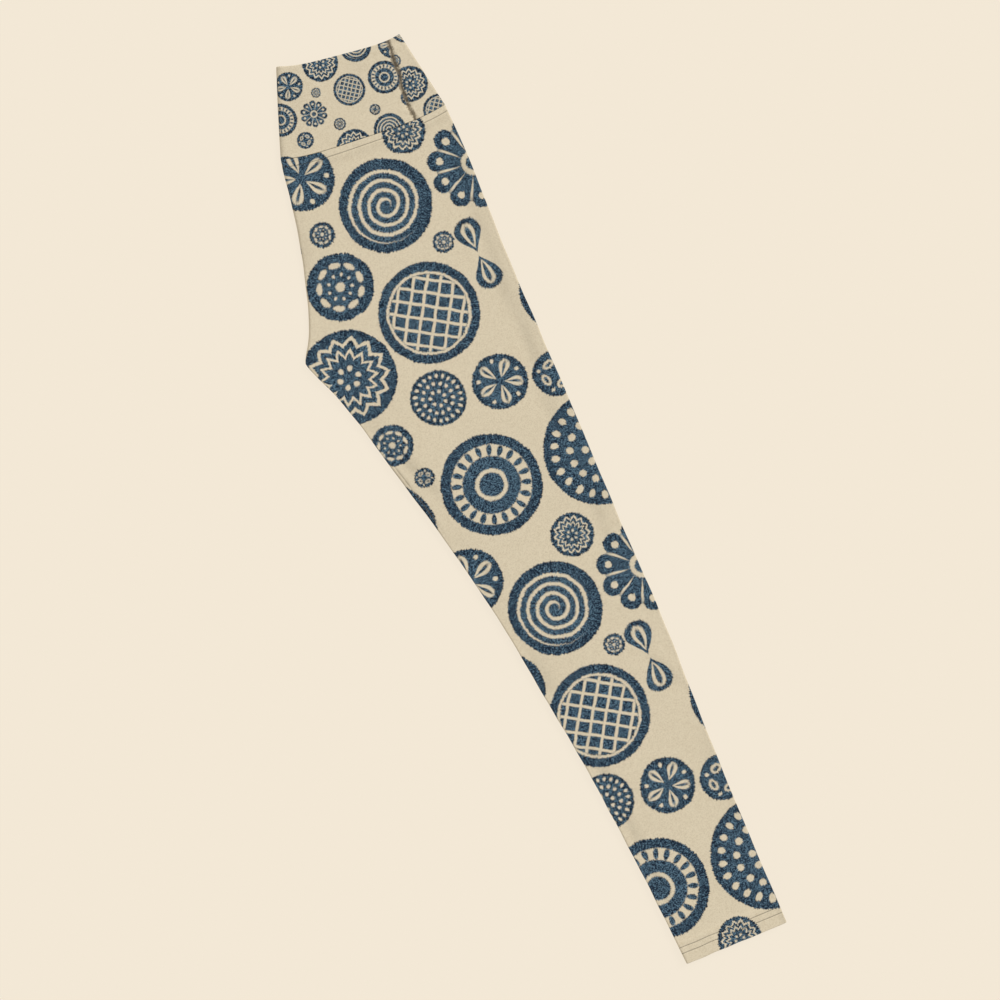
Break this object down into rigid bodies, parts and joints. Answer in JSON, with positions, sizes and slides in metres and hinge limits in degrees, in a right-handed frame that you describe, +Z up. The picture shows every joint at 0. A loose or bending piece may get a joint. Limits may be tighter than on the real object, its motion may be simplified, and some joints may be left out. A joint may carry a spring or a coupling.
{
  "type": "leggings",
  "caption": "High-waist full-length leggings in printed jersey with a wide waistband, folded in half lengthwise and laid flat, one leg on the other.",
  "frame": {"origin": "on the surface that the garment lies on, under the middle of its bounding box", "axes": "+Y from the hems towards the waist, +X towards the side fold, +Z up from the surface"},
  "size_m": [0.2314, 0.9835, 0.0089],
  "materials": {
    "leg_jersey": "matt printed jersey",
    "band_jersey": "matt printed jersey, doubled",
    "sewing_thread": "matt twisted polyester"
  },
  "bodies": {
    "root": {"leg_upper": "leg_jersey", "leg_under": "leg_jersey", "band_front": "band_jersey", "band_back": "band_jersey"}
  },
  "joints": []
}
